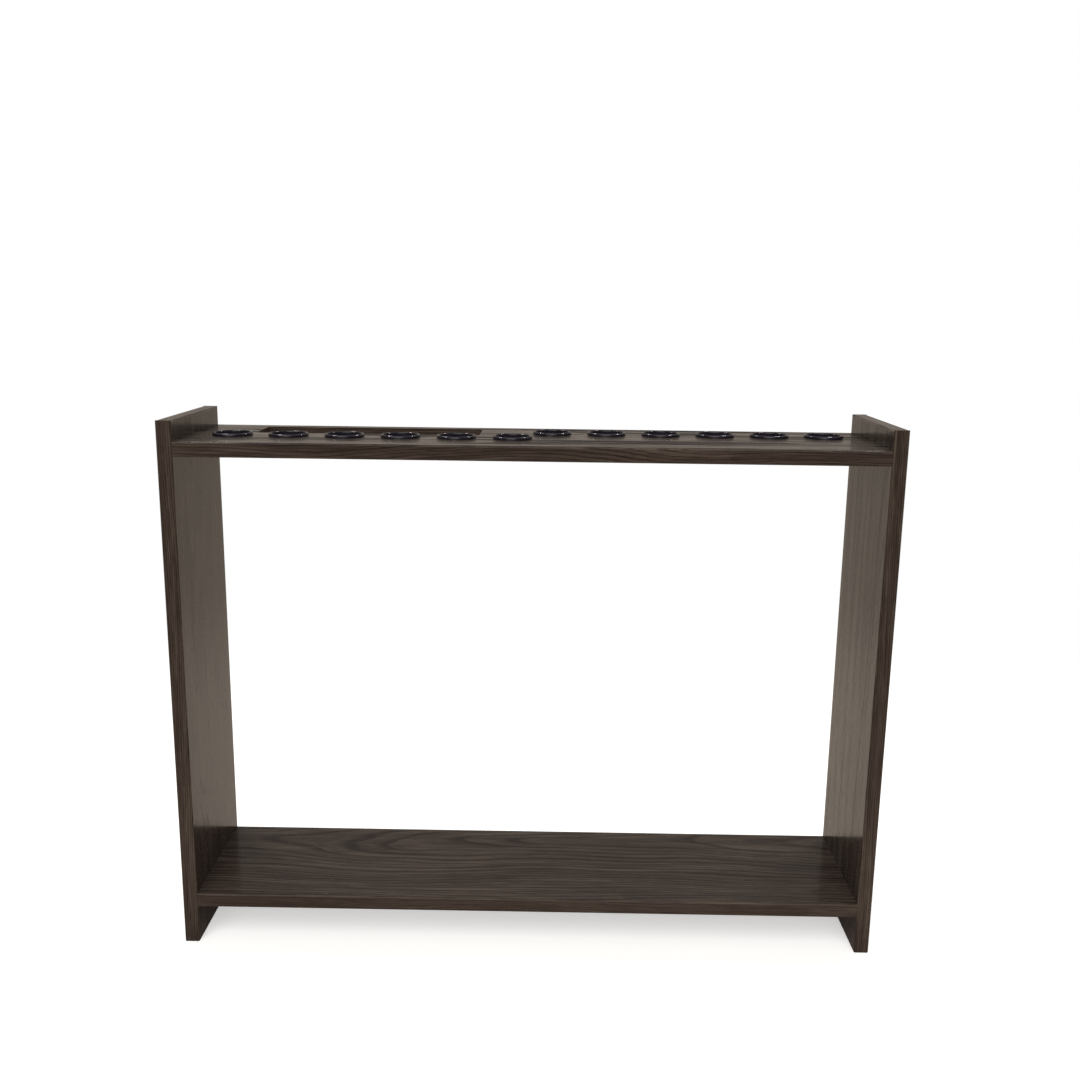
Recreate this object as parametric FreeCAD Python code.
import FreeCAD, Part
import math
import os

# Standing cue rack of laminated boards: two end panels, a pierced cue shelf and a solid base shelf.
# The origin is on the floor under the middle of the rack.
# +X runs to the right along the shelves, +Y to the back and +Z up. Lengths are in millimetres.

# Whole rack
overall_width = 720.0
overall_depth = 155.0
overall_height = 550.0
board_thickness = 15.0
panel_rise_above_shelf = 20.0
foot_height = 40.0

# Edge bands: glued plastic strips on the cut edges of the boards
band_thickness = 2.0
band_arris_radius = 1.8

# Cue holes: a front row in the left half and a rear row in the right half
holes_per_row = 6
hole_pitch = 56.5
hole_end_margin = 42.5
front_row_setback = 60.0
rear_row_setback = 102.0

# Grommets: flanged plastic rings pressed into the cue holes from above
grommet_bore_radius = 17.0
grommet_barrel_radius = 18.5
grommet_flange_radius = 20.0
grommet_flange_height = 3.2
grommet_barrel_depth = 13.0
grommet_crown_radius = 1.6
grommet_lip_radius = 1.3
grommet_lead_in = 0.6
grommet_hole_clearance = 0.1

# Triangle slot: a long through slot behind the front row of holes
slot_length = 230.0
slot_front_setback = 84.0
slot_rear_setback = 138.0
slot_end_margin = 60.0
slot_corner_radius = 5.0
slot_band_thickness = 0.8
glue_gap = 0.05

# Knock-down joints between the shelves and the end panels
cam_radius = 7.4
cam_height = 12.0
cam_pocket_radius = 7.5
cam_pocket_depth = 12.5
cam_chamber_radius = 5.0
cam_chamber_height = 7.6
cam_window_width = 7.2
cam_neck_slot_width = 4.0
cam_face_bevel = 0.5
cam_drive_length = 8.0
cam_drive_width = 1.4
cam_drive_depth = 2.2
cam_cut_overrun = 1.0
cam_setback = 24.0
cam_row_offset = 52.0
bolt_channel_radius = 4.0
bolt_thread_radius = 2.5
bolt_thread_root_radius = 2.0
bolt_thread_pitch = 1.6
bolt_thread_length = 10.0
bolt_tip_length = 0.4
bolt_tip_bevel = 0.6
bolt_collar_radius = 3.6
bolt_collar_length = 2.0
bolt_shank_radius = 2.4
bolt_shank_end = 16.0
bolt_neck_radius = 1.5
bolt_neck_end = 22.6
bolt_head_radius = 3.0
bolt_head_end = 26.2
bolt_head_bevel = 0.8
pilot_radius = 2.6
pilot_depth = 11.0
dowel_radius = 3.95
dowel_hole_radius = 4.0
dowel_length = 32.0
dowel_depth_in_panel = 10.0
dowel_hole_spare = 0.5
dowel_chamfer = 0.8
dowel_row_offset = 22.0

# Worked-out places
half_width = overall_width / 2
half_depth = overall_depth / 2
panel_inner_x = half_width - board_thickness
core_half_depth = half_depth - band_thickness
cue_shelf_top = overall_height - panel_rise_above_shelf
cue_shelf_bottom = cue_shelf_top - board_thickness
base_shelf_bottom = foot_height
base_shelf_top = base_shelf_bottom + board_thickness
cue_shelf_middle = cue_shelf_bottom + board_thickness / 2
base_shelf_middle = base_shelf_bottom + board_thickness / 2
front_row_y = front_row_setback - half_depth
rear_row_y = rear_row_setback - half_depth
slot_left_x = -panel_inner_x + slot_end_margin
slot_right_x = slot_left_x + slot_length
slot_front_y = slot_front_setback - half_depth
slot_rear_y = slot_rear_setback - half_depth

UP = FreeCAD.Vector(0, 0, 1)
X_AXIS = FreeCAD.Vector(1, 0, 0)
TOLERANCE = 1e-6


def box_between(low, high):
    """A block from its lowest to its highest corner."""
    size = [b - a for a, b in zip(low, high)]
    return Part.makeBox(size[0], size[1], size[2], FreeCAD.Vector(*low))


def cylinder(radius, length, start, direction):
    """A round bar of a given length that begins at start and runs along direction."""
    return Part.makeCylinder(radius, length, FreeCAD.Vector(*start), direction)


def revolved(profile_edges, axis_point, axis_direction):
    """A solid of revolution from the edges of one closed half-section."""
    face = Part.Face(Part.Wire(profile_edges))
    return face.revolve(axis_point, axis_direction, 360)


def polyline_edges(points):
    """Straight edges through the points, closed back to the first."""
    following = points[1:] + points[:1]
    return [Part.makeLine(a, b) for a, b in zip(points, following)]


def rounded_slot(grow, low_z, high_z):
    """The slot's rounded rectangle as a block, grown outwards by a distance on all sides."""
    block = box_between(
        (slot_left_x - grow, slot_front_y - grow, low_z),
        (slot_right_x + grow, slot_rear_y + grow, high_z),
    )
    corners = [e for e in block.Edges if abs(e.tangentAt(e.FirstParameter).dot(UP)) > 1 - TOLERANCE]
    return block.makeFillet(slot_corner_radius + grow, corners)


def cue_hole_places():
    """The middle of each cue hole in plan, from left to right."""
    first = -panel_inner_x + hole_end_margin
    front_row = [(first + i * hole_pitch, front_row_y) for i in range(holes_per_row)]
    rear_row = [(-x, rear_row_y) for x, y in reversed(front_row)]
    return front_row + rear_row


def joint_offsets(offset):
    """The two places of a pair of fittings across the depth of a board."""
    return (-offset, offset)


def end_panel_core(side):
    """An end panel's board without its edge bands; side is -1 on the left and 1 on the right."""
    inner = side * panel_inner_x
    outer = side * half_width
    core = box_between(
        (min(inner, outer), -core_half_depth, 0.0),
        (max(inner, outer), core_half_depth, overall_height - band_thickness),
    )
    outwards = X_AXIS * side
    cuts = []
    for height in (base_shelf_middle, cue_shelf_middle):
        for y in joint_offsets(cam_row_offset):
            cuts.append(cylinder(pilot_radius, pilot_depth, (inner, y, height), outwards))
        for y in joint_offsets(dowel_row_offset):
            depth = dowel_depth_in_panel + dowel_hole_spare
            cuts.append(cylinder(dowel_hole_radius, depth, (inner, y, height), outwards))
    return core.cut(Part.makeCompound(cuts))


def shelf_fitting_cuts(bottom):
    """Cam pockets, bolt channels and dowel holes at both ends of a shelf."""
    middle = bottom + board_thickness / 2
    cuts = []
    for side in (-1, 1):
        end = side * panel_inner_x
        cam_x = end - side * cam_setback
        inwards = X_AXIS * -side
        for y in joint_offsets(cam_row_offset):
            cuts.append(cylinder(cam_pocket_radius, cam_pocket_depth, (cam_x, y, bottom), UP))
            cuts.append(cylinder(bolt_channel_radius, cam_setback, (end, y, middle), inwards))
        depth = dowel_length - dowel_depth_in_panel + dowel_hole_spare
        for y in joint_offsets(dowel_row_offset):
            cuts.append(cylinder(dowel_hole_radius, depth, (end, y, middle), inwards))
    return cuts


def shelf_core(bottom):
    """A shelf's board between the end panels, with only its fitting holes."""
    core = box_between(
        (-panel_inner_x, -core_half_depth, bottom),
        (panel_inner_x, core_half_depth, bottom + board_thickness),
    )
    return core.cut(Part.makeCompound(shelf_fitting_cuts(bottom)))


def cue_shelf_core():
    """The upper shelf's board, pierced by the cue holes and the triangle slot."""
    radius = grommet_barrel_radius + grommet_hole_clearance
    holes = [
        cylinder(radius, board_thickness, (x, y, cue_shelf_bottom), UP)
        for x, y in cue_hole_places()
    ]
    opening = rounded_slot(slot_band_thickness + glue_gap, cue_shelf_bottom, cue_shelf_top)
    return shelf_core(cue_shelf_bottom).cut(Part.makeCompound(holes + [opening]))


def slot_band():
    """The strip that lines the wall of the triangle slot."""
    outer = rounded_slot(slot_band_thickness, cue_shelf_bottom, cue_shelf_top)
    inner = rounded_slot(0.0, cue_shelf_bottom, cue_shelf_top)
    return outer.cut(inner)


def edge_band(low, high, outward):
    """A strip glued to a board's edge, with its two long outer arrises rounded."""
    strip = box_between(low, high)
    normal = FreeCAD.Vector(*outward)
    outer_level = max(v.Point.dot(normal) for v in strip.Vertexes)
    longest = max(e.Length for e in strip.Edges)
    arrises = [
        e for e in strip.Edges
        if abs(e.Length - longest) < TOLERANCE
        and abs(e.CenterOfMass.dot(normal) - outer_level) < TOLERANCE
    ]
    return strip.makeFillet(band_arris_radius, arrises)


def panel_bands(side):
    """The front, back and top bands of an end panel, by name."""
    low_x = min(side * panel_inner_x, side * half_width)
    high_x = low_x + board_thickness
    top_low = overall_height - band_thickness
    return {
        "front": edge_band(
            (low_x, -half_depth, 0.0), (high_x, -core_half_depth, overall_height), (0, -1, 0)
        ),
        "back": edge_band(
            (low_x, core_half_depth, 0.0), (high_x, half_depth, overall_height), (0, 1, 0)
        ),
        "top": edge_band(
            (low_x, -core_half_depth, top_low), (high_x, core_half_depth, overall_height), (0, 0, 1)
        ),
    }


def shelf_bands(bottom):
    """The front and back bands of a shelf, by name."""
    top = bottom + board_thickness
    return {
        "front": edge_band(
            (-panel_inner_x, -half_depth, bottom), (panel_inner_x, -core_half_depth, top), (0, -1, 0)
        ),
        "back": edge_band(
            (-panel_inner_x, core_half_depth, bottom), (panel_inner_x, half_depth, top), (0, 1, 0)
        ),
    }


def grommet_section():
    """Half-section of a grommet in the XZ plane, with Z = 0 on the shelf's top face."""
    def at(radius, height):
        return FreeCAD.Vector(radius, 0, height)

    slant = math.sqrt(0.5)
    crown = grommet_crown_radius
    lip = grommet_lip_radius
    top = grommet_flange_height
    crown_middle = at(grommet_flange_radius - crown, top - crown)
    lip_middle = at(grommet_bore_radius + lip, top - lip)
    crown_start = at(grommet_flange_radius, top - crown)
    crown_end = at(grommet_flange_radius - crown, top)
    lip_start = at(grommet_bore_radius + lip, top)
    lip_end = at(grommet_bore_radius, top - lip)
    corners = [
        at(grommet_bore_radius, -grommet_barrel_depth),
        at(grommet_barrel_radius - grommet_lead_in, -grommet_barrel_depth),
        at(grommet_barrel_radius, -grommet_barrel_depth + grommet_lead_in),
        at(grommet_barrel_radius, 0),
        at(grommet_flange_radius, 0),
    ]
    edges = [Part.makeLine(a, b) for a, b in zip(corners, corners[1:])]
    edges.append(Part.makeLine(corners[-1], crown_start))
    crown_via = crown_middle + at(crown * slant, crown * slant)
    edges.append(Part.Arc(crown_start, crown_via, crown_end).toShape())
    edges.append(Part.makeLine(crown_end, lip_start))
    lip_via = lip_middle + at(-lip * slant, lip * slant)
    edges.append(Part.Arc(lip_start, lip_via, lip_end).toShape())
    edges.append(Part.makeLine(lip_end, corners[0]))
    return edges


def grommet(x, y):
    """One grommet seated in the cue hole at x, y."""
    ring = revolved(grommet_section(), FreeCAD.Vector(0, 0, 0), UP)
    ring.translate(FreeCAD.Vector(x, y, cue_shelf_top))
    return ring


def cam_lock():
    """A cam lock, bottom face at Z = 0, whose bolt arrives along -X at the board's mid-height."""
    axis_height = board_thickness / 2
    body = cylinder(cam_radius, cam_height, (0, 0, 0), UP)
    rims = [e for e in body.Edges if isinstance(e.Curve, Part.Circle)]
    body = body.makeChamfer(cam_face_bevel, rims)
    half_chamber = cam_chamber_height / 2
    half_window = cam_window_width / 2
    half_neck = cam_neck_slot_width / 2
    reach = cam_radius + cam_cut_overrun
    chamber = cylinder(cam_chamber_radius, cam_chamber_height, (0, 0, axis_height - half_chamber), UP)
    window = box_between(
        (-half_window, 0.0, axis_height - half_window),
        (half_window, reach, axis_height + half_window),
    )
    neck_sweep = box_between(
        (-reach, -half_neck, axis_height - half_neck),
        (0.0, reach, axis_height + half_neck),
    )
    half_drive = cam_drive_length / 2
    half_blade = cam_drive_width / 2
    drive_along = box_between(
        (-half_drive, -half_blade, 0.0), (half_drive, half_blade, cam_drive_depth)
    )
    drive_across = box_between(
        (-half_blade, -half_drive, 0.0), (half_blade, half_drive, cam_drive_depth)
    )
    return body.cut(Part.makeCompound([chamber, window, neck_sweep, drive_along, drive_across]))


def cam_bolt():
    """A cam bolt along +X: thread at X < 0 in the panel, collar at 0, head in the cam."""
    def at(distance, radius):
        return FreeCAD.Vector(distance, 0, radius)

    ridges = int(bolt_thread_length / bolt_thread_pitch)
    start = -ridges * bolt_thread_pitch
    tip = start - bolt_tip_length
    points = [
        at(tip, 0),
        at(tip, bolt_thread_root_radius - bolt_tip_bevel),
        at(start, bolt_thread_root_radius),
    ]
    for i in range(ridges):
        root = start + (i + 1) * bolt_thread_pitch
        points.append(at(root - bolt_thread_pitch / 2, bolt_thread_radius))
        points.append(at(root, bolt_thread_root_radius))
    points += [
        at(0.0, bolt_collar_radius),
        at(bolt_collar_length, bolt_collar_radius),
        at(bolt_collar_length, bolt_shank_radius),
        at(bolt_shank_end, bolt_shank_radius),
        at(bolt_shank_end, bolt_neck_radius),
        at(bolt_neck_end, bolt_neck_radius),
        at(bolt_neck_end + bolt_head_bevel, bolt_head_radius),
        at(bolt_head_end - bolt_head_bevel, bolt_head_radius),
        at(bolt_head_end, bolt_neck_radius),
        at(bolt_head_end, 0),
    ]
    return revolved(polyline_edges(points), FreeCAD.Vector(0, 0, 0), X_AXIS)


def dowel(side, y, height):
    """A glued wooden dowel, part in the panel and part in the shelf's end."""
    end = side * (panel_inner_x + dowel_depth_in_panel)
    pin = cylinder(dowel_radius, dowel_length, (end, y, height), X_AXIS * -side)
    rims = [e for e in pin.Edges if isinstance(e.Curve, Part.Circle)]
    return pin.makeChamfer(dowel_chamfer, rims)


def placed_fitting(shape, side, distance, y, height):
    """A fitting made for the left joint, set at a distance from the panel's inner face."""
    fitting = shape.copy()
    if side > 0:
        fitting.rotate(FreeCAD.Vector(0, 0, 0), UP, 180)
    fitting.translate(FreeCAD.Vector(side * (panel_inner_x - distance), y, height))
    return fitting


def joint_fittings(side, bottom):
    """The cams, cam bolts and dowels that join one end of a shelf to its panel, by name."""
    middle = bottom + board_thickness / 2
    cams = [
        placed_fitting(cam_lock(), side, cam_setback, y, bottom)
        for y in joint_offsets(cam_row_offset)
    ]
    bolts = [
        placed_fitting(cam_bolt(), side, 0.0, y, middle)
        for y in joint_offsets(cam_row_offset)
    ]
    dowels = [dowel(side, y, middle) for y in joint_offsets(dowel_row_offset)]
    return {
        "cams": Part.makeCompound(cams),
        "cam_bolts": Part.makeCompound(bolts),
        "dowels": Part.makeCompound(dowels),
    }


def all_nodes():
    """Every separate piece or group of like fasteners, by node name."""
    nodes = {
        "cue_shelf": cue_shelf_core(),
        "base_shelf": shelf_core(base_shelf_bottom),
        "triangle_slot_band": slot_band(),
    }
    shelves = {"cue_shelf": cue_shelf_bottom, "base_shelf": base_shelf_bottom}
    for side, side_name in ((-1, "left"), (1, "right")):
        nodes[side_name + "_end_panel"] = end_panel_core(side)
        for edge, band in panel_bands(side).items():
            nodes[side_name + "_panel_" + edge + "_band"] = band
        for shelf, bottom in shelves.items():
            for fitting, group in joint_fittings(side, bottom).items():
                nodes[shelf + "_" + side_name + "_" + fitting] = group
    for shelf, bottom in shelves.items():
        for edge, band in shelf_bands(bottom).items():
            nodes[shelf + "_" + edge + "_band"] = band
    for number, (x, y) in enumerate(cue_hole_places(), start=1):
        nodes["cue_grommet_%02d" % number] = grommet(x, y)
    return nodes


def main():
    os.makedirs("parts", exist_ok=True)
    for name, shape in all_nodes().items():
        for solid in shape.Solids:
            if not (solid.isValid() and solid.isClosed() and solid.Volume > 0):
                raise ValueError(name + " is not a closed solid")
        shape.exportStep("parts/" + name + ".step")
        print("%-32s %d solid(s) %12.1f mm3" % (name, len(shape.Solids), shape.Volume))


main()
